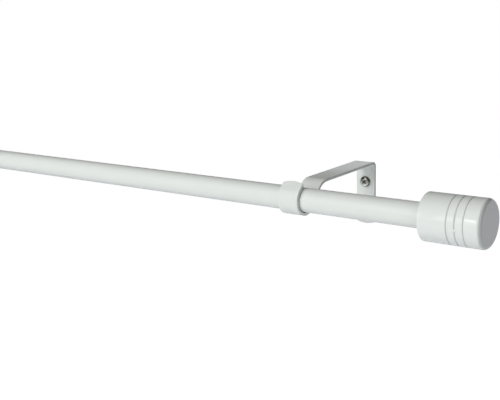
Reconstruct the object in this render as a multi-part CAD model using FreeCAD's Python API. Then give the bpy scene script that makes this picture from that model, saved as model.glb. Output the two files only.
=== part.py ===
import FreeCAD, Part
import math
import os

# Extendable curtain rod: telescoping steel tubes, grooved finials and hook brackets with their screws.
# Millimetres. The origin is the middle of the right bracket's two screws, on the wall.
# +X runs along the rod to the right finial, +Y goes into the wall and +Z is up.
# The rod is drawn pushed in: the inner tube's exposed end and the left bracket are at the left.

Vector = FreeCAD.Vector
X_AXIS = Vector(1, 0, 0)
Y_AXIS = Vector(0, 1, 0)
Z_AXIS = Vector(0, 0, 1)

# Rod
OUTER_TUBE_D = 19.0
OUTER_TUBE_WALL = 0.7
INNER_TUBE_D = 16.0
INNER_TUBE_WALL = 0.7
CLOSED_SPAN = 800.0
FINIAL_OVERHANG = 110.5

# Plastic guides between the two tubes
COLLAR_DEPTH = 12.0
COLLAR_LIP = 3.0
BUSH_LENGTH = 25.0
BUSH_END = 1.2
BUSH_END_BORE = 11.0

# Finials
FINIAL_D = 35.3
FINIAL_LENGTH = 45.8
FINIAL_FRONT_ROUND = 3.2
FINIAL_REAR_ROUND = 0.8
GROOVE_COUNT = 3
GROOVE_FIRST = 21.7
GROOVE_PITCH = 6.0
GROOVE_WIDTH = 1.1
GROOVE_DEPTH = 0.6
RIM_FLATS = 2

# Plastic sleeves inside the finials
TUBE_SEAT_DEPTH = 20.0
SLEEVE_D = 24.0
SLEEVE_FLOOR = 2.0
SLEEVE_SLOTS = 4
SLEEVE_SLOT_WIDTH = 1.6
SLEEVE_SLOT_DEPTH = 14.0
FIRST_SLOT_DEG = 45.0

# Bracket, bent from one flat strip
STRIP_WIDTH = 18.0
STRIP_THICKNESS = 2.2
STRIP_EDGE_BREAK = 0.3
ROD_REACH = 107.5
ROD_ABOVE_SCREWS = 16.5
BRACKET_TOP_ABOVE_ROD = 14.1
PLATE_BELOW_LOWER_SCREW = 12.5
ARM_SLOPE_DEG = 1.7
WALL_BEND_INSIDE = 1.2
ARM_BEND_INSIDE = 14.0
HOOK_BACK_DEG = 37.5
TIP_LEAN_DEG = 46.0
TIP_ABOVE_ROD = 13.9
END_CROWN = 1.9
END_CORNER_ROUND = 1.4

# Screws
SCREW_SPACING = 25.0
SCREW_HOLE_D = 5.0
SCREW_NECK_D = 3.6
SCREW_THREAD_D = 4.5
SCREW_LENGTH = 16.0
SCREW_POINT_LENGTH = 4.0
SCREW_POINT_D = 0.8
SCREW_HEAD_D = 9.4
SCREW_HEAD_HEIGHT = 3.0
SCREW_HEAD_BEVEL = 1.5
RECESS_WIDTH = 4.6
RECESS_SLOT = 1.1
RECESS_DEPTH = 1.9

# Fits
RUNNING_CLEARANCE = 0.05
END_CLEARANCE = 0.3
HOOK_PLAY = 0.9
HOOK_SEAT_GAP = 0.6
BRACKET_COLLAR_GAP = 13.9
BUSH_END_GAP = 8.8

# Modelling
CUT_MARGIN = 3.0
SAME_PLACE = 0.001

# Places that follow from the sizes above
OUTER_R = OUTER_TUBE_D / 2
OUTER_BORE_R = OUTER_R - OUTER_TUBE_WALL
INNER_R = INNER_TUBE_D / 2
INNER_BORE_R = INNER_R - INNER_TUBE_WALL
FINIAL_R = FINIAL_D / 2
SLEEVE_R = SLEEVE_D / 2
SLEEVE_DEPTH = TUBE_SEAT_DEPTH + END_CLEARANCE
RIGHT_FINIAL_X = FINIAL_OVERHANG
LEFT_FINIAL_X = RIGHT_FINIAL_X - CLOSED_SPAN
LEFT_BRACKET_X = LEFT_FINIAL_X + FINIAL_OVERHANG
LEFT_BRACKET_RISE = OUTER_R - INNER_R
MOUTH_X = LEFT_BRACKET_X + STRIP_WIDTH / 2 + BRACKET_COLLAR_GAP + COLLAR_LIP
OUTER_TUBE_END_X = RIGHT_FINIAL_X + TUBE_SEAT_DEPTH
OUTER_TUBE_LENGTH = OUTER_TUBE_END_X - MOUTH_X
INNER_TUBE_START_X = LEFT_FINIAL_X - TUBE_SEAT_DEPTH
INNER_TUBE_END_X = OUTER_TUBE_END_X - BUSH_END_GAP - BUSH_END
INNER_TUBE_LENGTH = INNER_TUBE_END_X - INNER_TUBE_START_X


def rod_point(x):
    """The point on the rod's axis at x."""
    return Vector(x, -ROD_REACH, ROD_ABOVE_SCREWS)


def rod_cylinder(x_from, length, radius):
    """A cylinder on the rod's axis."""
    return Part.makeCylinder(radius, length, rod_point(x_from), X_AXIS)


def rod_ring(x_from, length, outer_r, inner_r):
    """A straight pipe on the rod's axis."""
    return rod_cylinder(x_from, length, outer_r).cut(rod_cylinder(x_from, length, inner_r))


def outer_tube():
    """The thick tube, held in the right finial at one end and open at its mouth."""
    return rod_ring(MOUTH_X, OUTER_TUBE_LENGTH, OUTER_R, OUTER_BORE_R)


def inner_tube():
    """The thin tube that slides in the thick one."""
    return rod_ring(INNER_TUBE_START_X, INNER_TUBE_LENGTH, INNER_R, INNER_BORE_R)


def line(a, b):
    """A straight edge between two (x, radius) points."""
    return Part.LineSegment(Vector(a[0], 0, a[1]), Vector(b[0], 0, b[1])).toShape()


def turned(points):
    """A piece turned about X: its section is the closed outline through these (x, radius) points."""
    edges = [line(a, b) for a, b in zip(points, points[1:] + points[:1])]
    return Part.Face(Part.Wire(edges)).revolve(Vector(0, 0, 0), X_AXIS, 360)


def rim(x, radius, size, inwards):
    """Points of a quarter-round rim, from the end face at x to the side. inwards is the sign of X."""
    points = []
    for step in range(RIM_FLATS + 1):
        angle = math.radians(90 * step / RIM_FLATS)
        from_face = size * (1 - math.cos(angle))
        from_side = size * (1 - math.sin(angle))
        points.append((x + inwards * from_face, radius - from_side))
    return points


def mouth_collar():
    """The plastic ring in the thick tube's mouth, where the thin tube runs. Its lip covers the cut end."""
    bore_r = INNER_R + RUNNING_CLEARANCE
    lip = rod_ring(MOUTH_X - COLLAR_LIP, COLLAR_LIP, OUTER_R, bore_r)
    plug = rod_ring(MOUTH_X, COLLAR_DEPTH, OUTER_BORE_R, bore_r)
    return lip.fuse(plug).removeSplitter()


def guide_bush():
    """The plastic cap on the thin tube's hidden end, which keeps it centred in the thick tube."""
    outer_r = OUTER_BORE_R - RUNNING_CLEARANCE
    whole = rod_cylinder(INNER_TUBE_END_X - BUSH_LENGTH, BUSH_LENGTH + BUSH_END, outer_r)
    tube_seat = rod_cylinder(INNER_TUBE_END_X - BUSH_LENGTH, BUSH_LENGTH, INNER_R)
    through = rod_cylinder(INNER_TUBE_END_X, BUSH_END, BUSH_END_BORE / 2)
    return whole.cut(tube_seat).cut(through)


def finial():
    """A turned cylinder about X, rear face at 0, with rounded rims, grooves and a seat for the sleeve."""
    seat_depth = SLEEVE_DEPTH + SLEEVE_FLOOR
    points = [(seat_depth, 0), (seat_depth, SLEEVE_R), (0, SLEEVE_R)]
    points += rim(0, FINIAL_R, FINIAL_REAR_ROUND, 1)
    for index in range(GROOVE_COUNT):
        points += groove(GROOVE_FIRST + index * GROOVE_PITCH)
    points += rim(FINIAL_LENGTH, FINIAL_R, FINIAL_FRONT_ROUND, -1)[::-1]
    points.append((FINIAL_LENGTH, 0))
    return turned(points)


def groove(centre):
    """Points of a V groove round the finial, from its rear lip to its front lip."""
    half = GROOVE_WIDTH / 2
    return [(centre - half, FINIAL_R), (centre, FINIAL_R - GROOVE_DEPTH), (centre + half, FINIAL_R)]


def finial_sleeve(tube_r):
    """A plastic cup about X, mouth at 0, split into springy fingers that grip a tube of this radius."""
    cup = Part.makeCylinder(SLEEVE_R, SLEEVE_DEPTH + SLEEVE_FLOOR, Vector(0, 0, 0), X_AXIS)
    cup = cup.cut(Part.makeCylinder(tube_r + RUNNING_CLEARANCE, SLEEVE_DEPTH, Vector(0, 0, 0), X_AXIS))
    for index in range(SLEEVE_SLOTS):
        slot = Part.makeBox(
            SLEEVE_SLOT_DEPTH, SLEEVE_SLOT_WIDTH, SLEEVE_D, Vector(0, -SLEEVE_SLOT_WIDTH / 2, 0)
        )
        slot.rotate(Vector(0, 0, 0), X_AXIS, FIRST_SLOT_DEG + index * 360 / SLEEVE_SLOTS)
        cup = cup.cut(slot)
    return cup


def at_right_end(shape):
    """Puts a piece that was drawn about X on the rod's right end."""
    shape.translate(rod_point(RIGHT_FINIAL_X))
    return shape


def at_left_end(shape):
    """Turns a piece end for end and puts it on the rod's left end."""
    shape.rotate(Vector(0, 0, 0), Z_AXIS, 180)
    shape.translate(rod_point(LEFT_FINIAL_X))
    return shape


def direction(heading_deg):
    """The unit vector in the YZ plane at an angle from +Y towards +Z."""
    angle = math.radians(heading_deg)
    return Vector(0, math.cos(angle), math.sin(angle))


def crossing(point_a, heading_a, point_b, heading_b):
    """Where two lines in the YZ plane meet."""
    along = direction(heading_a)
    other = direction(heading_b)
    apart = point_b - point_a
    turn = along.y * other.z - along.z * other.y
    distance = (apart.y * other.z - apart.z * other.y) / turn
    return point_a + along * distance


def bracket_moves():
    """The strip's foot and the straights and bends of its middle line, from the foot to the hook's tip."""
    half = STRIP_THICKNESS / 2
    wall_bend_r = WALL_BEND_INSIDE + half
    arm_bend_r = ARM_BEND_INSIDE + half
    hook_r = OUTER_R + HOOK_PLAY + half
    arm_heading = 180 + ARM_SLOPE_DEG
    back_heading = 270 - HOOK_BACK_DEG
    tip_heading = 90 - TIP_LEAN_DEG

    foot = Vector(0, -half, -SCREW_SPACING / 2 - PLATE_BELOW_LOWER_SCREW)
    arm_start = Vector(0, -half, ROD_ABOVE_SCREWS + BRACKET_TOP_ABOVE_ROD - half)
    hook_centre = rod_point(0) + Z_AXIS * (HOOK_PLAY - HOOK_SEAT_GAP)
    back_touch = hook_centre + direction(back_heading + 90) * hook_r
    front_touch = hook_centre + direction(tip_heading + 90) * hook_r
    arm_end = crossing(arm_start, arm_heading, back_touch, back_heading)

    wall_turn = arm_heading - 90
    arm_turn = back_heading - arm_heading
    hook_turn = tip_heading - back_heading
    wall_trim = wall_bend_r * math.tan(math.radians(wall_turn / 2))
    arm_trim = arm_bend_r * math.tan(math.radians(arm_turn / 2))
    tip_top = ROD_ABOVE_SCREWS + TIP_ABOVE_ROD
    moves = [
        (0, 0, (arm_start - foot).Length - wall_trim),
        (wall_turn, wall_bend_r, (arm_end - arm_start).Length - wall_trim - arm_trim),
        (arm_turn, arm_bend_r, (back_touch - arm_end).Length - arm_trim),
        (hook_turn, hook_r, (tip_top - front_touch.z) / direction(tip_heading).z),
    ]
    return foot, moves


def strip_side(start, moves, offset):
    """One side of the strip: the middle line's bends and straights, moved to the left by an offset."""
    point = start
    heading = 90
    edges = []
    for turn, radius, straight in moves:
        side = math.copysign(1, turn)
        if turn:
            centre = point + direction(heading + 90 * side) * radius
            stops = [heading, heading + turn / 2, heading + turn]
            on_side = [centre - direction(h + 90 * side) * (radius - side * offset) for h in stops]
            edges.append(Part.Arc(*on_side).toShape())
            heading += turn
            point = centre - direction(heading + 90 * side) * radius
        moved = direction(heading + 90) * offset
        end = point + direction(heading) * straight
        edges.append(Part.LineSegment(point + moved, end + moved).toShape())
        point = end
    return edges, point, heading


def crown_cutter():
    """What trims a strip end that points up at the origin to a shallow arc with rounded corners."""
    half = STRIP_WIDTH / 2
    depth = STRIP_THICKNESS + 2 * CUT_MARGIN
    trimmed = END_CROWN + END_CORNER_ROUND
    low = -trimmed - CUT_MARGIN
    left_corner = Vector(-half, 0, -END_CROWN)
    right_corner = Vector(half, 0, -END_CROWN)
    left_foot = Vector(-half, 0, low)
    right_foot = Vector(half, 0, low)
    outline = [
        Part.Arc(left_corner, Vector(0, 0, 0), right_corner).toShape(),
        Part.LineSegment(right_corner, right_foot).toShape(),
        Part.LineSegment(right_foot, left_foot).toShape(),
        Part.LineSegment(left_foot, left_corner).toShape(),
    ]
    form = Part.Face(Part.Wire(outline)).extrude(Y_AXIS * depth)
    through_edges = [e for e in form.Edges if is_through_edge(e)]
    corners = [e for e in through_edges if abs(e.Vertexes[0].Z + END_CROWN) < SAME_PLACE]
    form = form.makeFillet(END_CORNER_ROUND, corners)
    blank_corner = Vector(-half - CUT_MARGIN, 0, -trimmed)
    blank = Part.makeBox(STRIP_WIDTH + 2 * CUT_MARGIN, depth, trimmed + CUT_MARGIN, blank_corner)
    cutter = blank.cut(form)
    cutter.translate(Y_AXIS * (-depth / 2))
    return cutter


def is_through_edge(edge):
    """Whether an edge is straight along Y, through the strip's thickness."""
    start, end = edge.Vertexes
    return abs(start.X - end.X) < SAME_PLACE and abs(start.Z - end.Z) < SAME_PLACE


def bracket():
    """A flat strip bent into a wall plate, an arm and a hook that is open at the top."""
    foot, moves = bracket_moves()
    half = STRIP_THICKNESS / 2
    left_side, tip, tip_heading = strip_side(foot, moves, half)
    right_side = strip_side(foot, moves, -half)[0]
    ends = []
    for point, heading in ((foot, 90), (tip, tip_heading)):
        across = direction(heading + 90) * half
        ends.append(Part.LineSegment(point + across, point - across).toShape())
    outline = Part.Wire(Part.__sortEdges__(left_side + right_side + ends))
    strip = Part.Face(outline).extrude(X_AXIS * STRIP_WIDTH)
    strip.translate(X_AXIS * (-STRIP_WIDTH / 2))

    foot_cutter = crown_cutter()
    foot_cutter.rotate(Vector(0, 0, 0), X_AXIS, 180)
    foot_cutter.translate(foot)
    tip_cutter = crown_cutter()
    tip_cutter.rotate(Vector(0, 0, 0), X_AXIS, tip_heading - 90)
    tip_cutter.translate(tip)
    strip = strip.cut(foot_cutter).cut(tip_cutter)
    strip = strip.makeChamfer(STRIP_EDGE_BREAK, long_edges(strip))
    for z in screw_heights():
        hole = Part.makeCylinder(SCREW_HOLE_D / 2, STRIP_THICKNESS, Vector(0, -STRIP_THICKNESS, z), Y_AXIS)
        strip = strip.cut(hole)
    return strip


def long_edges(strip):
    """The edges round the strip's two broad faces: all but the short ones through its thickness."""
    return [e for e in strip.Edges if abs(e.Length - STRIP_THICKNESS) > SAME_PLACE]


def screw_heights():
    """The heights of the upper and the lower screw."""
    return (SCREW_SPACING / 2, -SCREW_SPACING / 2)


def screw(z):
    """A pan-head screw: bevelled head with a cross recess, neck in the plate, thread and point."""
    head_r = SCREW_HEAD_D / 2
    neck_r = SCREW_NECK_D / 2
    thread_r = SCREW_THREAD_D / 2
    head_top = -STRIP_THICKNESS - SCREW_HEAD_HEIGHT
    tip = SCREW_LENGTH - STRIP_THICKNESS
    body = turned([
        (head_top, 0),
        (head_top, head_r - SCREW_HEAD_BEVEL),
        (head_top + SCREW_HEAD_BEVEL, head_r),
        (-STRIP_THICKNESS, head_r),
        (-STRIP_THICKNESS, neck_r),
        (0, neck_r),
        (0, thread_r),
        (tip - SCREW_POINT_LENGTH, thread_r),
        (tip, SCREW_POINT_D / 2),
        (tip, 0),
    ])
    for angle in (0, 90):
        corner = Vector(head_top, -RECESS_WIDTH / 2, -RECESS_SLOT / 2)
        slot = Part.makeBox(RECESS_DEPTH, RECESS_WIDTH, RECESS_SLOT, corner)
        slot.rotate(Vector(0, 0, 0), X_AXIS, angle)
        body = body.cut(slot)
    body.rotate(Vector(0, 0, 0), Z_AXIS, 90)
    body.translate(Vector(0, 0, z))
    return body


def for_left_bracket(shape):
    """Moves a piece of the right bracket to the left one, raised so that its hook carries the thin tube."""
    shape.translate(Vector(LEFT_BRACKET_X, 0, LEFT_BRACKET_RISE))
    return shape


def main():
    upper, lower = screw_heights()
    nodes = {
        "outer_tube": outer_tube(),
        "mouth_collar": mouth_collar(),
        "right_bracket": bracket(),
        "right_upper_screw": screw(upper),
        "right_lower_screw": screw(lower),
        "inner_tube": inner_tube(),
        "guide_bush": guide_bush(),
        "left_bracket": for_left_bracket(bracket()),
        "left_upper_screw": for_left_bracket(screw(upper)),
        "left_lower_screw": for_left_bracket(screw(lower)),
        "right_finial": at_right_end(finial()),
        "right_finial_sleeve": at_right_end(finial_sleeve(OUTER_R)),
        "left_finial": at_left_end(finial()),
        "left_finial_sleeve": at_left_end(finial_sleeve(INNER_R)),
    }
    os.makedirs("parts", exist_ok=True)
    for name, shape in nodes.items():
        shape.exportStep(f"parts/{name}.step")
        print(name, shape.isValid(), len(shape.Solids), round(shape.Volume, 1))


main()
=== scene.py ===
import math
import bmesh
import bpy
import numpy as np
from mathutils import Matrix, Vector


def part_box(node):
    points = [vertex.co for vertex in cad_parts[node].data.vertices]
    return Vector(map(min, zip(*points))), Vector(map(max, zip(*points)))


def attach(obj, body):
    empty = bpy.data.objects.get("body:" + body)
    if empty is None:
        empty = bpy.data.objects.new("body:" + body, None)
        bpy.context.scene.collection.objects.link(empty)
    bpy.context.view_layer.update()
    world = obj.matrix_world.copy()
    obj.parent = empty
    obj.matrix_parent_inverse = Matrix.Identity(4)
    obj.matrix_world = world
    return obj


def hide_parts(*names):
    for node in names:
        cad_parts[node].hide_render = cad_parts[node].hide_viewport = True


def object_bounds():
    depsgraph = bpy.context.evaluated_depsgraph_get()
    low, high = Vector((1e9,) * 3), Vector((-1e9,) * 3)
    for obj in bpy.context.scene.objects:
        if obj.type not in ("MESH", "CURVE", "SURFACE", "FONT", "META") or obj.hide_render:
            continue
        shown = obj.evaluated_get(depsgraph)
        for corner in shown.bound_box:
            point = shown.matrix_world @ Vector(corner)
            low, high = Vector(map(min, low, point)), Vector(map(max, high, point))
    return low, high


# Looks of the extendable curtain rod: smooth enamelled tubes and strips, turned and lacquered end pieces,
# plated screws. Metres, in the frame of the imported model: +X along the rod, +Y into the wall, +Z up.

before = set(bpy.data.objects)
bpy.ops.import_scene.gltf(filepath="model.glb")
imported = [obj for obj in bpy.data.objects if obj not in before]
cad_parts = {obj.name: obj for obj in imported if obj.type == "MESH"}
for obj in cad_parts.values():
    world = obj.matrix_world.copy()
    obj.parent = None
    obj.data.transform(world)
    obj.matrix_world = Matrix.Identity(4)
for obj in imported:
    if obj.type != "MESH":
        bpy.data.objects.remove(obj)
cad_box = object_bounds()

MM = 0.001
TURN = 2 * math.pi
MERGE = 1e-7


def node_span(node):
    """A node's lowest and highest corner as arrays."""
    low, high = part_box(node)
    return np.array(low), np.array(high)


# Sizes that the frame gives
OUTER_LOW, OUTER_HIGH = node_span("outer_tube")
INNER_LOW, INNER_HIGH = node_span("inner_tube")
COLLAR_LOW, COLLAR_HIGH = node_span("mouth_collar")
KNOB_LOW, KNOB_HIGH = node_span("right_finial")
SLEEVE_LOW, SLEEVE_HIGH = node_span("right_finial_sleeve")
STRIP_LOW, STRIP_HIGH = node_span("right_bracket")
LEFT_STRIP_LOW = node_span("left_bracket")[0]
LEFT_KNOB_HIGH = node_span("left_finial")[1]
SCREW_LOW, SCREW_HIGH = node_span("right_upper_screw")

AXIS_Z = (OUTER_LOW[2] + OUTER_HIGH[2]) / 2
AXIS_Y = (KNOB_LOW[1] + KNOB_HIGH[1]) / 2
OUTER_R = (OUTER_HIGH[2] - OUTER_LOW[2]) / 2
INNER_R = (INNER_HIGH[2] - INNER_LOW[2]) / 2
KNOB_R = (KNOB_HIGH[1] - KNOB_LOW[1]) / 2
KNOB_LENGTH = KNOB_HIGH[0] - KNOB_LOW[0]
SEAT_R = (SLEEVE_HIGH[1] - SLEEVE_LOW[1]) / 2
SEAT_DEPTH = SLEEVE_HIGH[0] - SLEEVE_LOW[0]
STRIP_WIDTH = STRIP_HIGH[0] - STRIP_LOW[0]
LEFT_SHIFT = LEFT_STRIP_LOW - STRIP_LOW

# Sizes of tubes and mouth ring that the frame does not give, and the points round each kind of piece
TUBE_WALL = 0.7 * MM
TUBE_EDGE = 0.2 * MM
RING_EDGE = 0.55 * MM
RING_STRAIGHT_FROM = 1.4 * RING_EDGE
RING_CHAMFER = 0.1 * MM
RING_PLAY = 0.05 * MM
AROUND_TUBE = 160
AROUND_KNOB = 288
AROUND_SCREW = 128
EDGE_POINTS = 5
TUBE_ROWS = 25


# Surfaces worked out on grids of points


def quads_of(index):
    """The quads between neighbouring rows of a grid of vertex numbers whose columns close round."""
    after = np.roll(index, -1, axis=1)
    return np.stack([index[:-1], after[:-1], after[1:], index[1:]], axis=-1).reshape(-1, 4)


def make_piece(name, points, faces, sharp_deg=None):
    """A mesh object at the origin from points and quads, doubles merged and faces pointing outwards."""
    mesh = bpy.data.meshes.new(name)
    mesh.from_pydata(points.reshape(-1, 3).tolist(), [], faces.tolist())
    work = bmesh.new()
    work.from_mesh(mesh)
    bmesh.ops.remove_doubles(work, verts=work.verts, dist=MERGE)
    bmesh.ops.dissolve_degenerate(work, edges=work.edges, dist=MERGE)
    bmesh.ops.recalc_face_normals(work, faces=work.faces)
    work.to_mesh(mesh)
    work.free()
    mesh.polygons.foreach_set("use_smooth", np.ones(len(mesh.polygons), bool))
    if sharp_deg is not None:
        mesh.set_sharp_from_angle(angle=math.radians(sharp_deg))
    piece = bpy.data.objects.new(name, mesh)
    bpy.context.scene.collection.objects.link(piece)
    return piece


def grid_piece(name, points, sharp_deg=None):
    """A piece from rows of points that each close round."""
    rows, columns = points.shape[:2]
    index = np.arange(rows * columns).reshape(rows, columns)
    return make_piece(name, points, quads_of(index), sharp_deg)


def arc(centre, radius, start_deg, end_deg, count):
    """Points (x, r) on a circle's arc: centre plus radius times cosine and sine of evenly spaced angles."""
    angles = np.radians(np.linspace(start_deg, end_deg, count))
    return np.stack([centre[0] + radius * np.cos(angles), centre[1] + radius * np.sin(angles)], axis=-1)


def run(start, end, count):
    """Evenly spaced points (x, r) from start to end."""
    return np.linspace(np.array(start), np.array(end), count)


def smooth_step(value, low, high):
    """0 below low and 1 above high, with a smooth cubic between."""
    t = np.clip((value - low) / (high - low), 0, 1)
    return t * t * (3 - 2 * t)


def lathe(profile, around):
    """A profile of (x, r) turned about the rod's axis: y and z are the axis plus r times cosine and sine."""
    angles = np.linspace(0, TURN, around, endpoint=False)
    x = np.repeat(profile[:, :1], around, axis=1)
    y = AXIS_Y + profile[:, 1:] * np.cos(angles)
    z = AXIS_Z + profile[:, 1:] * np.sin(angles)
    return np.stack([x, y, z], axis=-1)


def tube_profile(x_from, x_to, outer_r, inner_r):
    """A pipe's closed section with its four edges rounded."""
    edge = TUBE_EDGE
    return np.concatenate([
        arc((x_from + edge, outer_r - edge), edge, 180, 90, EDGE_POINTS),
        run((x_from + edge * 2, outer_r), (x_to - edge * 2, outer_r), TUBE_ROWS),
        arc((x_to - edge, outer_r - edge), edge, 90, 0, EDGE_POINTS),
        arc((x_to - edge, inner_r + edge), edge, 0, -90, EDGE_POINTS),
        run((x_to - edge * 2, inner_r), (x_from + edge * 2, inner_r), TUBE_ROWS),
        arc((x_from + edge, inner_r + edge), edge, -90, -180, EDGE_POINTS),
    ])


def ring_piece(name, profile):
    """A ring: the profile, with its first point again at its end, turned about the rod's axis."""
    return grid_piece(name, lathe(np.concatenate([profile, profile[:1]]), AROUND_TUBE))


def thick_tube():
    """The thick tube, from its mouth to its end in the right end piece."""
    profile = tube_profile(OUTER_LOW[0], OUTER_HIGH[0], OUTER_R, OUTER_R - TUBE_WALL)
    return ring_piece("thick_tube", profile)


def thin_tube():
    """The thin tube, from its end in the left end piece to its hidden end in the thick one."""
    profile = tube_profile(INNER_LOW[0], INNER_HIGH[0], INNER_R, INNER_R - TUBE_WALL)
    return ring_piece("thin_tube", profile)


def mouth_ring():
    """The plastic ring at the thick tube's mouth: a rounded lip outside and a plain sleeve inside."""
    lip_x = COLLAR_LOW[0]
    mouth_x = OUTER_LOW[0]
    bore_r = INNER_R + RING_PLAY
    plug_r = OUTER_R - TUBE_WALL
    edge = RING_EDGE
    profile = np.concatenate([
        arc((lip_x + edge, bore_r + edge), edge, -90, -180, 6),
        arc((lip_x + edge, OUTER_R - edge), edge, 180, 90, 8),
        run((lip_x + RING_STRAIGHT_FROM, OUTER_R), (mouth_x - RING_CHAMFER, OUTER_R), 4),
        run((mouth_x, OUTER_R - RING_CHAMFER), (mouth_x, plug_r), 3),
        run((mouth_x, plug_r), (COLLAR_HIGH[0], plug_r), 6),
        run((COLLAR_HIGH[0], bore_r), (lip_x + RING_STRAIGHT_FROM, bore_r), 8),
    ])
    return ring_piece("mouth_ring", profile)


# End piece: a turned cylinder with rounded rims and three grooves, slight swells of its lacquer on the lands
# and by the rear rim, and a chip in the middle groove

FRONT_ROUND = 3.2 * MM
REAR_ROUND = 0.9 * MM
SEAT_EDGE = 0.3 * MM
SEAT_FLOOR_SHARE = 0.9
FACE_INSET = 0.4 * MM
ROUND_POINTS = 22
GROOVE_PLACES = (21.7 * MM, 27.7 * MM, 33.7 * MM)
GROOVE_DEEP = 0.55 * MM
GROOVE_HALF = 0.42 * MM
LAND_HALF = 3.0 * MM
LAND_SWELL = 0.03 * MM
LAND_SWELL_LONG = 2.0 * MM
LAND_FADE = 1.0 * MM
LAND_POINTS = 51
RIM_SWELL = 0.06 * MM
RIM_SWELL_LONG = 2.5 * MM
RIM_CREST = 0.3 * MM
RIM_REACH = 4.55 * MM
RIM_FADE = 0.5 * MM
RIM_POINTS = 37
SIDE_POINTS = 24
CHIP_ANGLE_DEG = -10.1
CHIP_LONG = 0.75 * MM
CHIP_HALF = 0.75 * MM
NICK_BELOW = 0.2 * MM
NICK_LONG = 0.5 * MM
NICK_OFFSET = 1.3 * MM
NICK_HALF = 0.35 * MM
NICK_DEEP = 0.35 * MM


def knob_side(x):
    """The side's radius at x: full, less a bell-shaped groove at each place, with slight swells of the
    lacquer, each half a cosine wave, three between two grooves and two beside the rear rim."""
    first = GROOVE_PLACES[0] - LAND_HALF / 2
    last = GROOVE_PLACES[-1] + LAND_HALF / 2
    on_lands = smooth_step(x, first, first + LAND_FADE) * (1 - smooth_step(x, last - LAND_FADE, last))
    by_rim = 1 - smooth_step(x, RIM_REACH - RIM_FADE, RIM_REACH)
    land_swell = np.abs(np.cos(math.pi * (x - GROOVE_PLACES[0] - LAND_HALF) / LAND_SWELL_LONG))
    rim_swell = np.abs(np.cos(math.pi * (x - RIM_CREST) / RIM_SWELL_LONG))
    radius = KNOB_R - LAND_SWELL * (1 - on_lands * land_swell)
    radius += by_rim * (LAND_SWELL - RIM_SWELL * (1 - rim_swell))
    for place in GROOVE_PLACES:
        radius -= GROOVE_DEEP * np.exp(-(((x - place) / GROOVE_HALF) ** 4))
    return radius


def knob_profile():
    """The end piece's outline from the middle of its front face to the middle of its seat's floor."""
    near_grooves = [place + np.linspace(-LAND_HALF, LAND_HALF, LAND_POINTS) for place in GROOVE_PLACES]
    by_rim = np.linspace(REAR_ROUND, RIM_REACH, RIM_POINTS)
    side_x = np.linspace(REAR_ROUND, KNOB_LENGTH - FRONT_ROUND, SIDE_POINTS)
    side_x = np.unique(np.round(np.concatenate([side_x, by_rim] + near_grooves), 6))[::-1]
    side = np.stack([side_x, knob_side(side_x)], axis=-1)
    front_centre = (KNOB_LENGTH - FRONT_ROUND, side[0, 1] - FRONT_ROUND)
    rear_centre = (REAR_ROUND, side[-1, 1] - REAR_ROUND)
    edge = SEAT_EDGE
    return np.concatenate([
        run((KNOB_LENGTH, 0), (KNOB_LENGTH, front_centre[1] - FACE_INSET), 12),
        arc(front_centre, FRONT_ROUND, 0, 90, ROUND_POINTS)[:-1],
        side,
        arc(rear_centre, REAR_ROUND, 90, 180, ROUND_POINTS)[1:],
        run((0, rear_centre[1] - FACE_INSET), (0, SEAT_R + edge * 2), 4),
        arc((edge, SEAT_R + edge), edge, 180, 270, EDGE_POINTS),
        run((edge * 3, SEAT_R), (SEAT_DEPTH, SEAT_R), 8),
        run((SEAT_DEPTH, SEAT_R * SEAT_FLOOR_SHARE), (SEAT_DEPTH, 0), 6),
    ])


def knob(name, face_x, outwards, chipped=False):
    """An end piece whose rear face is at face_x, pointing along outwards, +1 or -1. The chip is a blob that
    fills the middle groove over a short way, with a nick beside it."""
    profile = knob_profile()
    angles = np.linspace(0, TURN, AROUND_KNOB, endpoint=False)
    x = np.repeat(profile[:, :1], AROUND_KNOB, axis=1)
    r = np.repeat(profile[:, 1:], AROUND_KNOB, axis=1)
    if chipped:
        along = ((angles + math.radians(CHIP_ANGLE_DEG)) % TURN - math.pi) * KNOB_R
        across = x - GROOVE_PLACES[1]
        blob = np.exp(-((along / CHIP_LONG) ** 4) - (across / CHIP_HALF) ** 4)
        nick_along = (along - NICK_BELOW) / NICK_LONG
        nick_across = (across - NICK_OFFSET) / NICK_HALF
        nick = np.exp(-(nick_along ** 2) - nick_across ** 2)
        on_side = r > KNOB_R - 2 * GROOVE_DEEP
        filled = r + (KNOB_R - r) * blob
        r = np.where(on_side, filled - NICK_DEEP * nick, r)
    points = np.stack([
        face_x + outwards * x,
        AXIS_Y + r * np.cos(angles),
        AXIS_Z + r * np.sin(angles),
    ], axis=-1)
    return grid_piece(name, points)


# Bracket: one strip bent into plate, arm and hook

STRIP_THICK = 2.2 * MM
STRIP_ROUND = 0.2 * MM
STRIP_ROUND_POINTS = 8
STRIP_SUPPORT = 0.12 * MM
STRIP_ROW_LONG = 2.5 * MM
STRIP_END_SHARE = 0.6
STRIP_END_CLEAR = 2.2 * STRIP_ROUND
BEND_ROW_DEG = 2.0
BEND_ROWS_LEAST = 8
STRIP_SHARP_DEG = 50
ROD_ABOVE_SCREWS = AXIS_Z
BRACKET_TOP_ABOVE_ROD = 14.1 * MM
ARM_SLOPE_DEG = 1.7
WALL_BEND_INSIDE = 2.5 * MM
ARM_BEND_INSIDE = 14.0 * MM
HOOK_BACK_DEG = 37.5
TIP_LEAN_DEG = 46.0
TIP_ABOVE_ROD = 13.9 * MM
HOOK_PLAY = 0.9 * MM
HOOK_SEAT_GAP = 0.6 * MM
END_CROWN = 1.9 * MM
END_CORNER = 1.4 * MM
SCREW_SPACING = 25.0 * MM
HOLE_R = 2.5 * MM
HOLE_EDGE = 0.25 * MM
HOLE_PATCH = 4.0 * MM
HOLE_PATCH_CELLS = 12
CELL_CLOSE = 1e-3
HOLE_RING_SHARES = (0.75, 0.5, 0.25, 0.08, 0)
CROWN_REACH = 6.0 * MM


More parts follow.
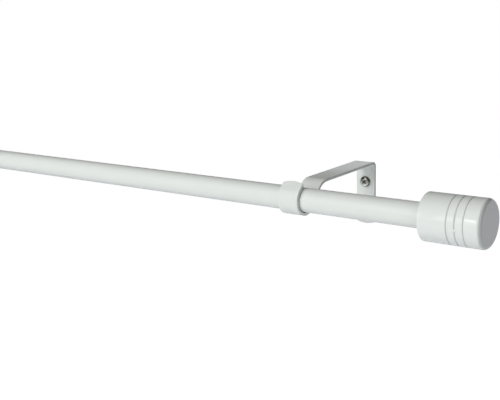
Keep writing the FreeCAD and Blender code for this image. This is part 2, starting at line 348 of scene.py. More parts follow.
def heading_vector(degrees):
    """Unit vectors in the YZ plane at angles from +Y towards +Z."""
    angle = np.radians(degrees)
    return np.stack([np.cos(angle), np.sin(angle)], axis=-1)


def strip_moves():
    """The foot of the strip's middle line and its moves: turn in degrees, radius of the bend, and the
    straight after it."""
    half = STRIP_THICK / 2
    wall_r = WALL_BEND_INSIDE + half
    arm_r = ARM_BEND_INSIDE + half
    hook_r = OUTER_R + HOOK_PLAY + half
    arm_heading = 180 + ARM_SLOPE_DEG
    back_heading = 270 - HOOK_BACK_DEG
    tip_heading = 90 - TIP_LEAN_DEG

    foot = np.array([-half, STRIP_LOW[2]])
    arm_start = np.array([-half, ROD_ABOVE_SCREWS + BRACKET_TOP_ABOVE_ROD - half])
    hook_centre = np.array([AXIS_Y, AXIS_Z + HOOK_PLAY - HOOK_SEAT_GAP])
    back_touch = hook_centre + heading_vector(back_heading + 90) * hook_r
    front_touch = hook_centre + heading_vector(tip_heading + 90) * hook_r
    along_arm = heading_vector(arm_heading)
    along_back = heading_vector(back_heading)
    arm_length, back_length = np.linalg.solve(np.array([along_arm, along_back]).T, back_touch - arm_start)

    wall_turn = arm_heading - 90
    arm_turn = back_heading - arm_heading
    hook_turn = tip_heading - back_heading
    wall_trim = wall_r * math.tan(math.radians(wall_turn / 2))
    arm_trim = arm_r * math.tan(math.radians(arm_turn / 2))
    tip_rise = ROD_ABOVE_SCREWS + TIP_ABOVE_ROD - front_touch[1]
    return foot, [
        (0, wall_r, arm_start[1] - foot[1] - wall_trim),
        (wall_turn, wall_r, arm_length - wall_trim - arm_trim),
        (arm_turn, arm_r, back_length - arm_trim),
        (hook_turn, hook_r, tip_rise / heading_vector(tip_heading)[1]),
    ]


def bent_line(foot, moves, s):
    """Points and headings at lengths s, and the whole length: each bend is a circle's arc of its turn and
    radius, then a straight."""
    point = foot
    heading = 90.0
    start = 0.0
    places = np.zeros(s.shape + (2,))
    headings = np.full(s.shape, heading)
    for turn, radius, straight in moves:
        side = math.copysign(1, turn)
        bend = math.radians(abs(turn)) * radius
        centre = point + heading_vector(heading + 90 * side) * radius
        turned = side * np.degrees(np.clip(s - start, 0, bend) / radius)
        here = heading + turned
        beyond = np.clip(s - start - bend, 0, None)
        on_line = centre - heading_vector(here + 90 * side) * radius
        on_line = on_line + heading_vector(here) * beyond[..., None]
        later = s >= start
        places = np.where(later[..., None], on_line, places)
        headings = np.where(later, here, headings)
        heading = heading + turn
        point = centre - heading_vector(heading + 90 * side) * radius
        point = point + heading_vector(heading) * straight
        start += bend + straight
    return places, headings, start


def strip_section():
    """The strip's section as a closed loop of (x, n): front face, right side, back face and left side, with
    quarter circles between them."""
    half = STRIP_WIDTH / 2
    flat = half - STRIP_ROUND
    upper = STRIP_THICK / 2 - STRIP_ROUND
    support = STRIP_SUPPORT
    patch = np.linspace(-HOLE_PATCH, HOLE_PATCH, HOLE_PATCH_CELLS + 1)
    outer = np.linspace(HOLE_PATCH, flat - support, 5)[1:]
    face_x = np.concatenate([[-flat], -outer[::-1], patch, outer, [flat]])
    corner = np.radians(np.linspace(0, 90, STRIP_ROUND_POINTS)[1:-1])
    right_top = np.stack([flat + STRIP_ROUND * np.sin(corner), upper + STRIP_ROUND * np.cos(corner)], -1)
    front = np.stack([face_x, np.full_like(face_x, STRIP_THICK / 2)], -1)
    side_n = np.array([upper, upper - support, 0, support - upper, -upper])
    right_side = np.stack([np.full_like(side_n, half), side_n], -1)
    right = np.concatenate([right_top, right_side, (right_top * [1, -1])[::-1]])
    left = right[::-1] * [-1, 1]
    return np.concatenate([front, right, front[::-1] * [1, -1], left])


def crown_depth(x):
    """How far the crowned end falls back at x: a shallow arc, then a small circle's arc at each corner."""
    half = STRIP_WIDTH / 2
    crown_r = (half ** 2 + END_CROWN ** 2) / (2 * END_CROWN)
    corner_x = half - END_CORNER
    corner_y = math.sqrt((crown_r - END_CORNER) ** 2 - corner_x ** 2) - crown_r
    touch_x = corner_x * crown_r / (crown_r - END_CORNER)
    size = np.abs(x)
    on_crown = crown_r - np.sqrt(crown_r ** 2 - np.minimum(size, touch_x) ** 2)
    reach = np.clip(END_CORNER ** 2 - (size - corner_x) ** 2, 0, None)
    on_corner = -corner_y - np.sqrt(reach)
    return np.where(size > touch_x, on_corner, on_crown)


def strip_rows(length, moves):
    """Distances along the strip for its rows, each row's thickness factor, which closes both ends, and the
    screws' places."""
    rounding = np.radians(np.linspace(0, 90, STRIP_ROUND_POINTS))
    end_in = STRIP_ROUND * (1 - np.cos(rounding))
    end_thick = 1 - STRIP_ROUND * (1 - np.sin(rounding)) / (STRIP_THICK / 2)
    near = np.concatenate([np.zeros(2), end_in])
    near_thick = np.concatenate([[0, end_thick[0] * STRIP_END_SHARE], end_thick])
    screw_s = [-STRIP_LOW[2] - SCREW_SPACING / 2, -STRIP_LOW[2] + SCREW_SPACING / 2]
    cell = 2 * HOLE_PATCH / HOLE_PATCH_CELLS
    middle = [place + np.linspace(-HOLE_PATCH, HOLE_PATCH, HOLE_PATCH_CELLS + 1) for place in screw_s]
    start = 0.0
    for turn, radius, straight in moves:
        bend = math.radians(abs(turn)) * radius
        if turn:
            rows = max(int(abs(turn) / BEND_ROW_DEG), BEND_ROWS_LEAST)
            middle.append(start + np.linspace(0, bend, rows))
        gaps = max(int(straight / STRIP_ROW_LONG), 2)
        middle.append(start + bend + np.linspace(0, straight, gaps + 1)[:-1])
        start += bend + straight
    middle = np.unique(np.round(np.concatenate(middle), 7))
    inside = (middle > STRIP_END_CLEAR) & (middle < length - STRIP_END_CLEAR)
    for place in screw_s:
        in_patch = np.abs(middle - place) < HOLE_PATCH - MERGE
        within = (middle - place) / cell % 1
        on_patch_row = np.isclose(within, 0, atol=CELL_CLOSE) | np.isclose(within, 1, atol=CELL_CLOSE)
        inside &= ~in_patch | on_patch_row
    middle = middle[inside]
    s = np.concatenate([near, middle, length - near[::-1]])
    thick = np.concatenate([near_thick, np.ones(len(middle)), near_thick[::-1]])
    return s, thick, screw_s


def hole_side(points, index, rows, columns, centre, inwards, first_new):
    """One side of a screw hole, as rings of points: from a square of the strip's grid in to a circle, each
    point between the two, then round the hole's edge by a quarter circle. Returns the new points, the
    quads, the last ring's numbers, and the directions of its points from the centre."""
    inside = index[rows[0]:rows[1] + 1, columns[0]:columns[1] + 1]
    border = np.concatenate([inside[0, :-1], inside[:-1, -1], inside[-1, :0:-1], inside[:0:-1, 0]])
    outer = points[border]
    away = outer - centre
    angle = np.arctan2(away[:, 2], away[:, 0])
    rim = np.stack([np.cos(angle), np.zeros_like(angle), np.sin(angle)], -1)
    circle = centre + rim * (HOLE_R + HOLE_EDGE)
    rings = circle + np.array(HOLE_RING_SHARES)[:, None, None] * (outer - circle)
    bevel = np.radians(np.linspace(0, 90, EDGE_POINTS)[1:])[:, None, None]
    deeper = centre + rim * (HOLE_R + HOLE_EDGE * (1 - np.sin(bevel)))
    deeper = deeper + np.array([0, inwards * HOLE_EDGE, 0]) * (1 - np.cos(bevel))
    new_points = np.concatenate([rings, deeper])
    numbers = first_new + np.arange(new_points.size // 3).reshape(new_points.shape[:2])
    quads = quads_of(np.concatenate([border[None], numbers]))
    return new_points.reshape(-1, 3), quads, numbers[-1], rim


def strip_surface():
    """The section carried along the bent line and crowned at both ends, as rows of points, each row's
    distance along the strip, and the screws' places."""
    foot, moves = strip_moves()
    section = strip_section()
    length = bent_line(foot, moves, np.zeros(1))[2]
    s, thick, screw_s = strip_rows(length, moves)
    crown = crown_depth(section[:, 0])
    from_foot = np.clip(1 - s / CROWN_REACH, 0, 1)[:, None]
    from_tip = np.clip(1 - (length - s) / CROWN_REACH, 0, 1)[:, None]
    along = s[:, None] + crown * from_foot - crown * from_tip
    places, headings, _ = bent_line(foot, moves, along)
    n = section[:, 1] * thick[:, None]
    yz = places + heading_vector(headings + 90) * n[..., None]
    x = np.broadcast_to(section[:, 0], along.shape)
    return np.concatenate([x[..., None], yz], axis=-1), s, screw_s


def hook_strip(name, shift):
    """A bracket: the strip with two screw holes through its plate. Each hole takes the place of a patch of
    quads in the front and in the back, and its wall joins the two."""
    grid, s, screw_s = strip_surface()
    row_count, column_count = grid.shape[:2]
    index = np.arange(row_count * column_count).reshape(row_count, column_count)
    points = grid.reshape(-1, 3)
    keep = np.ones((row_count - 1, column_count), bool)
    new_points = [points]
    new_faces = []
    first_new = len(points)
    to_back = column_count // 2
    front_columns = np.flatnonzero(np.abs(grid[0, :to_back, 0]) < HOLE_PATCH + MERGE)[[0, -1]]
    sides = ((front_columns, -STRIP_THICK, 1), (front_columns + to_back, 0, -1))
    for place in screw_s:
        rows = np.flatnonzero(np.abs(s - place) < HOLE_PATCH + MERGE)[[0, -1]]
        walls = []
        for columns, y, inwards in sides:
            keep[rows[0]:rows[1], columns[0]:columns[1]] = False
            centre = np.array([0, y, STRIP_LOW[2] + place])
            side_points, quads, last_ring, rim = hole_side(
                points, index, rows, columns, centre, inwards, first_new)
            new_points.append(side_points)
            new_faces.append(quads)
            first_new += len(side_points)
            walls.append((last_ring, rim))
        # The back's ring runs the other way round, so each front point is paired by its direction
        order = [np.argmin(np.linalg.norm(walls[1][1] - r, axis=1)) for r in walls[0][1]]
        new_faces.append(quads_of(np.stack([walls[0][0], walls[1][0][order]])))
    faces = np.concatenate([quads_of(index)[keep.reshape(-1)]] + new_faces)
    points = np.concatenate(new_points) + shift
    return make_piece(name, points, faces, STRIP_SHARP_DEG)


# Screws: pan head with a cross recess, neck, thread and point

SCREW_HEAD_R = (SCREW_HIGH[0] - SCREW_LOW[0]) / 2
SCREW_HEAD_TOP = SCREW_LOW[1]
SCREW_TIP = SCREW_HIGH[1]
SCREW_SHARP_DEG = 60
HEAD_SEAT = -STRIP_THICK
HEAD_RIM = 0.7 * MM
HEAD_STRAIGHT_SHARE = 0.6
HEAD_CHAMFER = 0.12 * MM
HEAD_DENSE_SHARE = 0.6
HEAD_DENSE_ROWS = 40
HEAD_OUTER_FROM_DEG = 37.5
HEAD_OUTER_ROWS = 26
DOME_POWER = 2.6
DOME_ROOT = 2.2
NECK_R = 1.8 * MM
NECK_END = -0.2 * MM
THREAD_ROWS = 120
THREAD_CORE_R = 1.55 * MM
THREAD_CREST_R = 2.25 * MM
THREAD_PITCH = 1.7 * MM
THREAD_CREST_SHARE = 0.24
THREAD_TAPER_POWER = 0.6
POINT_LENGTH = 4.0 * MM
POINT_R = 0.3 * MM
RECESS_HALF_LONG = 2.35 * MM
RECESS_HALF_WIDE = 0.5 * MM
RECESS_DEEP = 1.8 * MM
RECESS_WALL = 0.16 * MM
RECESS_RISE = 0.55
RECESS_TURN = math.radians(38)


def recess_depth(x, z):
    """The cross recess: two crossed slots that get shallower outwards, with steep walls."""
    reach = np.hypot(x, z)
    floor = RECESS_DEEP * (1 - RECESS_RISE * reach / RECESS_HALF_LONG)
    slots = []
    for across, along in ((x, z), (z, x)):
        wall = 1 - smooth_step(np.abs(across), RECESS_HALF_WIDE, RECESS_HALF_WIDE + RECESS_WALL)
        end = 1 - smooth_step(np.abs(along), RECESS_HALF_LONG - RECESS_WALL * 2, RECESS_HALF_LONG)
        slots.append(wall * end)
    return floor * np.maximum(slots[0], slots[1])


def screw_profile():
    """The screw's outline (y, r) from the middle of its head to its point, the head's rows and the
    thread's rows. The dome is a superellipse."""
    head_height = HEAD_SEAT - SCREW_HEAD_TOP - HEAD_RIM
    inner = np.linspace(0, HEAD_DENSE_SHARE, HEAD_DENSE_ROWS)
    outer = np.sin(np.radians(np.linspace(HEAD_OUTER_FROM_DEG, 90, HEAD_OUTER_ROWS)))[1:]
    share = np.concatenate([inner, outer])
    dome = HEAD_SEAT - HEAD_RIM - head_height * (1 - share ** DOME_POWER) ** (1 / DOME_ROOT)
    head = np.stack([dome, SCREW_HEAD_R * share], -1)
    straight_from = HEAD_SEAT - HEAD_RIM * HEAD_STRAIGHT_SHARE
    under = HEAD_CHAMFER
    rim = np.concatenate([
        run((straight_from, SCREW_HEAD_R), (HEAD_SEAT - under, SCREW_HEAD_R), 3),
        run((HEAD_SEAT, SCREW_HEAD_R - under), (HEAD_SEAT, NECK_R + under), 4),
        run((HEAD_SEAT + under, NECK_R), (NECK_END, NECK_R), 4),
    ])
    thread_y = np.linspace(0, SCREW_TIP, THREAD_ROWS)
    thread = np.stack([thread_y, np.full_like(thread_y, THREAD_CORE_R)], -1)
    end = np.array([[SCREW_TIP, 0]])
    thread_from = len(head) + len(rim)
    profile = np.concatenate([head, rim, thread, end])
    return profile, slice(0, len(head)), slice(thread_from, thread_from + THREAD_ROWS)


def pan_screw(name, place):
    """A screw on Y through place: its head falls by the recess, its thread's radius follows a helix."""
    profile, head, thread = screw_profile()
    angles = np.linspace(0, TURN, AROUND_SCREW, endpoint=False)
    y = np.repeat(profile[:, :1], AROUND_SCREW, axis=1)
    r = np.repeat(profile[:, 1:], AROUND_SCREW, axis=1)
    y[head] += recess_depth(r[head] * np.cos(angles + RECESS_TURN), r[head] * np.sin(angles + RECESS_TURN))
    phase = (y[thread] / THREAD_PITCH - angles / TURN) % 1
    ridge = np.clip(1 - np.abs(phase - 0.5) / THREAD_CREST_SHARE, 0, 1)
    run_in = smooth_step(y[thread], 0, THREAD_PITCH)
    taper = np.clip((SCREW_TIP - y[thread]) / POINT_LENGTH, 0, 1)
    core = POINT_R + (THREAD_CORE_R - POINT_R) * np.sqrt(taper)
    r[thread] = core + (THREAD_CREST_R - THREAD_CORE_R) * ridge * run_in * taper ** THREAD_TAPER_POWER
    points = np.stack([place[0] + r * np.cos(angles), place[1] + y, place[2] + r * np.sin(angles)], -1)
    return grid_piece(name, points, SCREW_SHARP_DEG)


# Materials: one class for shader maths, one function for each finish


class Wire:
    """A shader socket that does arithmetic: each operator adds one Math node to the material."""

    def __init__(self, tree, socket):
        self.tree = tree
        self.socket = socket

    def add(self, kind, settings=None, **sockets):
        """A node of a kind, its settings made first, then its sockets' values or links. A socket is named,
        with _ for a space, or numbered, as in _0. Returns the node."""
        node = self.tree.nodes.new(kind)
        for key, value in (settings or {}).items():
            setattr(node, key, value)
        for key, value in sockets.items():
            socket = node.inputs[int(key[1:])] if key[0] == "_" else node.inputs[key.replace("_", " ")]
            if isinstance(value, Wire):
                self.tree.links.new(value.socket, socket)
            else:
                socket.default_value = value
        return node

    def wire(self, node, output=0):
        """An output of a node as a Wire."""
        return Wire(self.tree, node.outputs[output])

    def maths(self, operation, first, second=0.0):
        """A Math node on two values."""
        return self.wire(self.add("ShaderNodeMath", {"operation": operation}, _0=first, _1=second))

    def __add__(self, other):
        return self.maths("ADD", self, other)

    def __sub__(self, other):
        return self.maths("SUBTRACT", self, other)

    def __mul__(self, other):
        return self.maths("MULTIPLY", self, other)

    def __rsub__(self, other):
        return self.maths("SUBTRACT", other, self)

    def step(self, low, high):
        """0 below low and 1 above high, smooth between."""
        settings = {"interpolation_type": "SMOOTHSTEP"}
        return self.wire(self.add("ShaderNodeMapRange", settings, Value=self, From_Min=low, From_Max=high))

    def span(self, low, high):
        """A value between two numbers, by this mask."""
        return self * (high - low) + low

    def mix(self, low, high):
        """A colour between two colours, either of which may be a Wire, by this mask."""
        node = self.add("ShaderNodeMix", {"data_type": "RGBA"}, Factor=self, _6=low, _7=high)
        return self.wire(node, 2)


def new_material(name):
    """A material with its shader, and a Wire that carries the Object coordinates."""
    material = bpy.data.materials.new(name)
    material.use_nodes = True
    tree = material.node_tree
    shader = tree.nodes["Principled BSDF"]
    coordinates = tree.nodes.new("ShaderNodeTexCoord")
    return material, shader, Wire(tree, coordinates.outputs["Object"])


def noise(place, per_metre, detail=2.0, stretch=(1, 1, 1)):
    """Noise of about per_metre cells in a metre, from 0 to 1, stretched along the axes."""
    node = place.add("ShaderNodeMapping", Vector=place, Scale=Vector(stretch))
    node = place.add("ShaderNodeTexNoise", Vector=place.wire(node), Scale=per_metre, Detail=detail)
    return place.wire(node)


def bump(place, height, distance):
    """A Bump node from a height that is 0 to 1 over a distance in metres."""
    node = place.add("ShaderNodeBump", Height=height, Distance=distance, Strength=1.0)
    return place.wire(node)


def connect(place, shader, **sockets):
    """Links wires to the shader's sockets."""
    for key, value in sockets.items():
        place.tree.links.new(value.socket, shader.inputs[key.replace("_", " ")])


def colour(red, green, blue):
    """A colour with full alpha."""
    return (red, green, blue, 1.0)


WHITE_ENAMEL = colour(0.79, 0.825, 0.805)
WHITE_ENAMEL_THIN = colour(0.73, 0.765, 0.75)
WHITE_LACQUER = colour(0.80, 0.835, 0.82)
# Grey of the lacquer, for its random clouding and for painted shade in the grooves
WHITE_LACQUER_CLOUD_AND_GROOVE_SHADE = colour(0.62, 0.65, 0.64)
WHITE_PLASTIC = colour(0.77, 0.79, 0.77)
WHITE_PLASTIC_CLOUD = colour(0.72, 0.74, 0.72)
BARE_STEEL = colour(0.42, 0.42, 0.41)
BARE_STEEL_STREAK = colour(0.58, 0.58, 0.57)
PLATING = colour(0.78, 0.76, 0.7)
# Dark colour of the plating, for its stains and for painted shade on the screw heads
PLATING_STAIN_AND_SHADE = colour(0.09, 0.08, 0.06)

STRIP_ROUGH = (0.11, 0.17)
TUBE_ROUGH = (0.17, 0.23)
BARE_ROUGHER = 0.2
LACQUER_ROUGH = (0.04, 0.06)
PLASTIC_ROUGH = (0.38, 0.5)
PLATING_ROUGH = (0.08, 0.2)

ENAMEL_PEEL = 0.012 * MM
LACQUER_PEEL = 0.006 * MM
PLASTIC_GRAIN = 0.02 * MM
TURNING_MARKS = 0.006 * MM
BARE_BLUR = 0.1 * MM

ENAMEL_MOTTLE = 0.35
LACQUER_CLOUD = 0.08
GROOVE_SHADE_SHARE = 0.2
PLASTIC_CLOUD = 0.5
HEAD_BLUR = 0.2 * MM
RECESS_EDGE = (2.3 * MM, 2.6 * MM)
# Painted shade on the screw heads: in the recess, with some tarnish, and at the rim
RECESS_SHADE_DEPTHS = (0.9 * MM, 1.3 * MM)
RECESS_SHADE_AND_TARNISH = 0.85
RIM_SHADE_SPAN = (3.3 * MM, 4.3 * MM)
RIM_SHADE_AMOUNT = 0.75
STAIN_RANGE = (0.45, 0.7)
STAIN_DULL = 0.35


def axis_distance(place):
    """The distance from the rod's axis."""
    split = place.add("ShaderNodeSeparateXYZ", Vector=place)
    y = place.wire(split, 1) - AXIS_Y
    z = place.wire(split, 2) - AXIS_Z
    return place.maths("SQRT", y * y + z * z)


def enamel(name, bare_inside=None):
    """White gloss enamel on steel: faint mottle and fine orange peel. A tube's is rougher than a strip's and
    ends at the radius bare_inside, within which the steel is bare and streaked along the tube."""
    material, shader, place = new_material(name)
    mottle = noise(place, per_metre=90, detail=3)
    fine = noise(place, per_metre=700)
    peel = noise(place, per_metre=420, detail=1.5)
    painted = (mottle * ENAMEL_MOTTLE).mix(WHITE_ENAMEL, WHITE_ENAMEL_THIN)
    if bare_inside is None:
        connect(place, shader, Base_Color=painted, Roughness=fine.span(*STRIP_ROUGH))
    else:
        bare = 1 - axis_distance(place).step(bare_inside - BARE_BLUR, bare_inside + BARE_BLUR)
        streak = noise(place, per_metre=500, detail=3, stretch=(0.05, 1, 1))
        steel = streak.mix(BARE_STEEL, BARE_STEEL_STREAK)
        rough = fine.span(*TUBE_ROUGH) + bare * BARE_ROUGHER
        connect(place, shader, Base_Color=bare.mix(painted, steel), Metallic=bare, Roughness=rough)
    connect(place, shader, Normal=bump(place, peel, ENAMEL_PEEL))
    return material


def lacquer(name):
    """The end pieces' gloss lacquer: brighter and smoother than enamel, with painted shade that greys the
    grooves.
    """
    material, shader, place = new_material(name)
    cloud = noise(place, per_metre=60, detail=3)
    peel = noise(place, per_metre=260, detail=1)
    # Painted shade: colour greys the grooves, standing in for the shade that falls in them; thin carries
    # that painted shade together with the random clouding
    unshaded_from = KNOB_R - GROOVE_DEEP * GROOVE_SHADE_SHARE
    groove_shade = 1 - axis_distance(place).step(KNOB_R - GROOVE_DEEP, unshaded_from)
    thin = groove_shade + cloud * LACQUER_CLOUD
    connect(place, shader, Base_Color=thin.mix(WHITE_LACQUER, WHITE_LACQUER_CLOUD_AND_GROOVE_SHADE))
    connect(place, shader, Roughness=cloud.span(*LACQUER_ROUGH))
    connect(place, shader, Normal=bump(place, peel, LACQUER_PEEL))
    return material


def plastic(name):
    """Moulded white plastic: a fine grain and slight clouding."""
    material, shader, place = new_material(name)
    grain = noise(place, per_metre=1800)
    cloud = noise(place, per_metre=120)
    connect(place, shader, Base_Color=(cloud * PLASTIC_CLOUD).mix(WHITE_PLASTIC, WHITE_PLASTIC_CLOUD))
    connect(place, shader, Roughness=grain.span(*PLASTIC_ROUGH))
    connect(place, shader, Normal=bump(place, grain, PLASTIC_GRAIN))
    return material


def plated(name, centre):
    """Bright plating on the screw at centre: turning marks round the shank, stains, and painted shade on the
    head, in its recess, where it is mixed with some tarnish, and at its rim."""
    material, shader, place = new_material(name)
    turning = noise(place, per_metre=2600, stretch=(0.25, 1, 0.25))
    stain = noise(place, per_metre=900, detail=3)
    split = place.add("ShaderNodeSeparateXYZ", Vector=place)
    x = place.wire(split) - centre[0]
    z = place.wire(split, 2) - centre[2]
    away = place.maths("SQRT", x * x + z * z)
    depth = place.wire(split, 1)
    on_head = 1 - depth.step(HEAD_SEAT - HEAD_BLUR, HEAD_SEAT)
    in_recess = 1 - away.step(*RECESS_EDGE)
    # Painted shade: the recess's deeper part, with some tarnish, and the head's rim are darkened in colour;
    # rim is the mask of that painted shade
    recess_shade_and_tarnish = depth.step(SCREW_HEAD_TOP + RECESS_SHADE_DEPTHS[0], SCREW_HEAD_TOP + RECESS_SHADE_DEPTHS[1]) * in_recess
    rim = away.step(*RIM_SHADE_SPAN)
    stain_and_shade = (recess_shade_and_tarnish * RECESS_SHADE_AND_TARNISH + rim * RIM_SHADE_AMOUNT) * on_head + stain.step(*STAIN_RANGE) * STAIN_DULL
    connect(place, shader, Base_Color=stain_and_shade.mix(PLATING, PLATING_STAIN_AND_SHADE))
    connect(place, shader, Roughness=stain.span(*PLATING_ROUGH))
    connect(place, shader, Normal=bump(place, turning, TURNING_MARKS))
    shader.inputs["Metallic"].default_value = 1.0
    return material


def dress(piece, material, body, slot, *nodes):
    """Gives a new piece its material and its body, and hides the nodes that it stands for. The slot is not
    used.
    """
    piece.data.materials.append(material)
    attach(piece, body)
    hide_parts(*nodes)


def repaint(node, material):
    """Gives a kept node a better material."""
    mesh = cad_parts[node].data
    mesh.materials.clear()
    mesh.materials.append(material)


outer_enamel = enamel("thick_tube_enamel", OUTER_R - TUBE_WALL / 2)
inner_enamel = enamel("thin_tube_enamel", INNER_R - TUBE_WALL / 2)
strip_enamel = enamel("strip_enamel")
knob_lacquer = lacquer("end_piece_lacquer")
white_plastic = plastic("guide_plastic")

dress(thick_tube(), outer_enamel, "outer_section", "painted_steel", "outer_tube")
dress(thin_tube(), inner_enamel, "inner_section", "painted_steel", "inner_tube")
dress(mouth_ring(), white_plastic, "outer_section", "white_plastic", "mouth_collar")
right_knob = knob("right_knob", KNOB_LOW[0], 1, chipped=True)
dress(right_knob, knob_lacquer, "right_end", "finial_gloss", "right_finial")
left_knob = knob("left_knob", LEFT_KNOB_HIGH[0], -1)
dress(left_knob, knob_lacquer, "left_end", "finial_gloss", "left_finial")
for side, body, shift in (("right", "outer_section", np.zeros(3)), ("left", "inner_section", LEFT_SHIFT)):
    dress(hook_strip(f"{side}_hook_strip", shift), strip_enamel, body, "painted_steel", f"{side}_bracket")
    for height, level in ((SCREW_SPACING / 2, "upper"), (-SCREW_SPACING / 2, "lower")):
        centre = shift + np.array([0, 0, height])
        plating = plated(f"{side}_{level}_plating", centre)
        screw = pan_screw(f"{side}_{level}_pan_screw", centre)
        dress(screw, plating, body, "plated_steel", f"{side}_{level}_screw")
for node in ("guide_bush", "right_finial_sleeve", "left_finial_sleeve"):
    repaint(node, white_plastic)


# Camera, in the photograph's place

CAMERA_PLACE = Vector((0.3663, -0.6329, 0.1550))
CAMERA_AZIMUTH_DEG = 38.11
CAMERA_ELEVATION_DEG = 12.23
CAMERA_ROLL_DEG = -1.45
FOCAL_PIXELS = 845.2
PHOTO_WIDTH = 500
SENSOR_MM = 36.0
CLIP = (0.01, 100)


def direction(azimuth_deg, elevation_deg):
    """The unit vector towards an azimuth, 0 at -Y and 90 at +X, and an elevation above the horizon."""
    a = math.radians(azimuth_deg)
    e = math.radians(elevation_deg)
    return Vector((math.sin(a) * math.cos(e), -math.cos(a) * math.cos(e), math.sin(e)))


def make_camera():
    """The camera: it looks back along its own azimuth and elevation, rolled a little."""
    data = bpy.data.cameras.new("camera")
    data.sensor_width = SENSOR_MM
    data.lens = FOCAL_PIXELS / PHOTO_WIDTH * SENSOR_MM
    data.clip_start, data.clip_end = CLIP
    camera = bpy.data.objects.new("camera", data)
    bpy.context.scene.collection.objects.link(camera)
    back = direction(CAMERA_AZIMUTH_DEG, CAMERA_ELEVATION_DEG)
    level = back.to_track_quat("Z", "Y").to_matrix()
    roll = Matrix.Rotation(math.radians(CAMERA_ROLL_DEG), 3, "Z")
    camera.matrix_world = Matrix.Translation(CAMERA_PLACE) @ (level @ roll).to_4x4()
    bpy.context.scene.camera = camera


# Light and stage: plain soft lamps, a white floor, and what the gloss sees, which is a dim room with a
# paler ceiling, a pale floor, two pale cards behind the wall plane and one window

PLAIN_WHITE = colour(1, 1, 1)
NO_GLOW = colour(0, 0, 0)
ROOM_LIGHT = colour(0.03, 0.03, 0.03)
ROOM_IN_GLOSS = colour(0.06, 0.05, 0.04)
CEILING_IN_GLOSS = colour(0.15, 0.15, 0.15)
CEILING_FROM = (0.4, 0.6)
FLOOR_WHITE = colour(0.8, 0.81, 0.82)
FLOOR_IN_GLOSS = colour(0.36, 0.4, 0.44)
FLOOR_ROUGH = 0.9
FLOOR_GLOSS = 0.1
FLOOR_BELOW = 1.2
FLOOR_HALF = 7.0
CARD_Y = 0.06

# Cards: name, from and to along the rod, from and to in height, glow
CARDS = (
    ("arm_card", (cad_box[0].x - 0.3, 0.17), (-0.1, 0.0605), colour(0.6, 0.62, 0.65)),
    ("end_card", (0.171, 0.6), (-0.12, 0.08), colour(0.95, 0.95, 1.0)),
)

ROD_MIDDLE = Vector((-0.12, AXIS_Y, AXIS_Z))
KNOB_MIDDLE = Vector((0.14, AXIS_Y, AXIS_Z))
PLAIN_LIGHT = (1.0, 1.0, 1.0)

# Lamps: name, azimuth, elevation, distance, width, height, watts, colour, target
SOFT_LAMPS = (
    ("key", -25, 30, 1.8, 1.3, 0.9, 19.2, (1.0, 1.0, 0.98), ROD_MIDDLE),
    ("front_fill", -10, 12, 1.8, 1.3, 0.9, 8.0, PLAIN_LIGHT, ROD_MIDDLE),
    ("camera_side_fill", 48, 2, 1.8, 1.0, 1.0, 4.6, PLAIN_LIGHT, ROD_MIDDLE),
    ("end_fill", 60, 2, 0.75, 0.5, 0.5, 0.8, PLAIN_LIGHT, KNOB_MIDDLE),
    ("low_fill", 0, -32, 1.8, 1.6, 0.6, 5.0, PLAIN_LIGHT, ROD_MIDDLE),
    ("rear_fill", -170, 4, 1.8, 1.6, 1.0, 26, PLAIN_LIGHT, ROD_MIDDLE),
    ("left_end_fill", -90, 2, 1.8, 1.0, 1.0, 3.2, PLAIN_LIGHT, ROD_MIDDLE),
    ("top_fill", 0, 80, 1.8, 1.4, 1.4, 3.8, (1.05, 1.0, 0.9), ROD_MIDDLE),
)
WINDOW_LAMPS = (
    ("window", -21.5, 17.4, 2.2, 0.3, 0.36, 1.25, PLAIN_LIGHT, KNOB_MIDDLE),
    ("window_wall", -21.5, 9, 2.2, 0.3, 0.7, 1.1, PLAIN_LIGHT, KNOB_MIDDLE),
)


def softbox(name, azimuth, elevation, distance, wide, high, watts, tint, target, gloss_alone):
    """A rectangular lamp that faces its target from a direction and a distance. It shows in the gloss and
    lights nothing else, or the other way round."""
    data = bpy.data.lights.new(name, "AREA")
    data.shape = "RECTANGLE"
    data.size = wide
    data.size_y = high
    data.energy = watts
    data.color = tint
    lamp = bpy.data.objects.new(name, data)
    bpy.context.scene.collection.objects.link(lamp)
    back = direction(azimuth, elevation)
    facing = back.to_track_quat("Z", "Y").to_matrix().to_4x4()
    lamp.matrix_world = Matrix.Translation(target + back * distance) @ facing
    lamp.visible_camera = False
    lamp.visible_glossy = gloss_alone
    lamp.visible_diffuse = not gloss_alone


def light_rays(tree):
    """The Light Path node's wires for rays from the camera, from gloss and through glass."""
    path = tree.nodes.new("ShaderNodeLightPath")
    return [Wire(tree, path.outputs[f"Is {kind} Ray"]) for kind in ("Camera", "Glossy", "Transmission")]


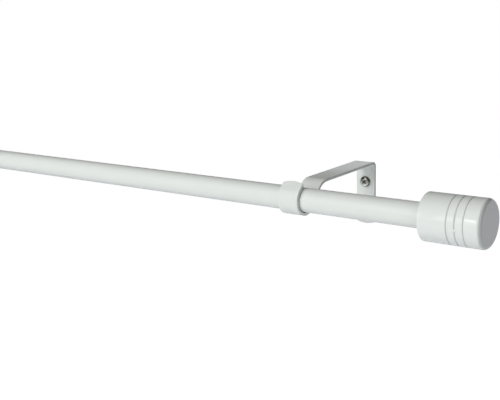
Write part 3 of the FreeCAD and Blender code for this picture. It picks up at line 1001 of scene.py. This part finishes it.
def make_world():
    """The surroundings: white to the camera and through glass, a dim room with a paler ceiling to gloss,
    and almost no light to the rest."""
    world = bpy.data.worlds.new("studio")
    world.use_nodes = True
    tree = world.node_tree
    background = tree.nodes["Background"]
    camera, glossy, glass = light_rays(tree)
    coordinates = tree.nodes.new("ShaderNodeTexCoord")
    place = Wire(tree, coordinates.outputs["Generated"])
    split = place.add("ShaderNodeSeparateXYZ", Vector=place)
    height = place.wire(split, 2)
    reflected = height.step(*CEILING_FROM).mix(ROOM_IN_GLOSS, CEILING_IN_GLOSS)
    white = place.maths("MAXIMUM", camera, glass)
    seen = white.mix(glossy.mix(ROOM_LIGHT, reflected), PLAIN_WHITE)
    tree.links.new(seen.socket, background.inputs["Color"])
    world.cycles.sampling_method = "NONE"
    bpy.context.scene.world = world


def glowing_sheet(name, corners, base, glow):
    """A flat sheet of the stage, of a base colour and a glow, which isn't sampled as a lamp. Returns it and
    its shader."""
    sheet = make_piece(name, np.array(corners), np.array([[0, 1, 2, 3]]))
    material = bpy.data.materials.new(f"{name}_white")
    material.use_nodes = True
    shader = material.node_tree.nodes["Principled BSDF"]
    shader.inputs["Base Color"].default_value = base
    shader.inputs["Emission Color"].default_value = glow
    shader.inputs["Emission Strength"].default_value = 1.0
    material.cycles.emission_sampling = "NONE"
    sheet.data.materials.append(material)
    return sheet, shader


def make_floor():
    """A pale floor that the camera sees as white, apart from the object's shadow."""
    z = cad_box[0].z - FLOOR_BELOW
    corners = np.array([[-1, -1, 0], [1, -1, 0], [1, 1, 0], [-1, 1, 0]]) * FLOOR_HALF + np.array([0, 0, z])
    floor, shader = glowing_sheet("floor", corners, FLOOR_WHITE, NO_GLOW)
    if floor.data.polygons[0].normal.z < 0:
        floor.data.flip_normals()
    shader.inputs["Roughness"].default_value = FLOOR_ROUGH
    shader.inputs["Specular IOR Level"].default_value = FLOOR_GLOSS
    tree = shader.id_data
    camera, glossy, glass = light_rays(tree)
    glow = camera.maths("MAXIMUM", camera, glass).mix(NO_GLOW, PLAIN_WHITE)
    tree.links.new(glossy.mix(glow, FLOOR_IN_GLOSS).socket, shader.inputs["Emission Color"])


def make_card(name, along, height, glow):
    """A card behind the wall plane, which the gloss alone sees."""
    corners = [[along[0], CARD_Y, height[0]], [along[1], CARD_Y, height[0]],
               [along[1], CARD_Y, height[1]], [along[0], CARD_Y, height[1]]]
    card, _ = glowing_sheet(name, corners, NO_GLOW, glow)
    card.visible_camera = False
    card.visible_diffuse = False
    card.visible_shadow = False


make_camera()
make_world()
make_floor()
for card in CARDS:
    make_card(*card)
for lamp in SOFT_LAMPS:
    softbox(*lamp, gloss_alone=False)
for lamp in WINDOW_LAMPS:
    softbox(*lamp, gloss_alone=True)
bpy.context.scene.view_settings.view_transform = "Standard"
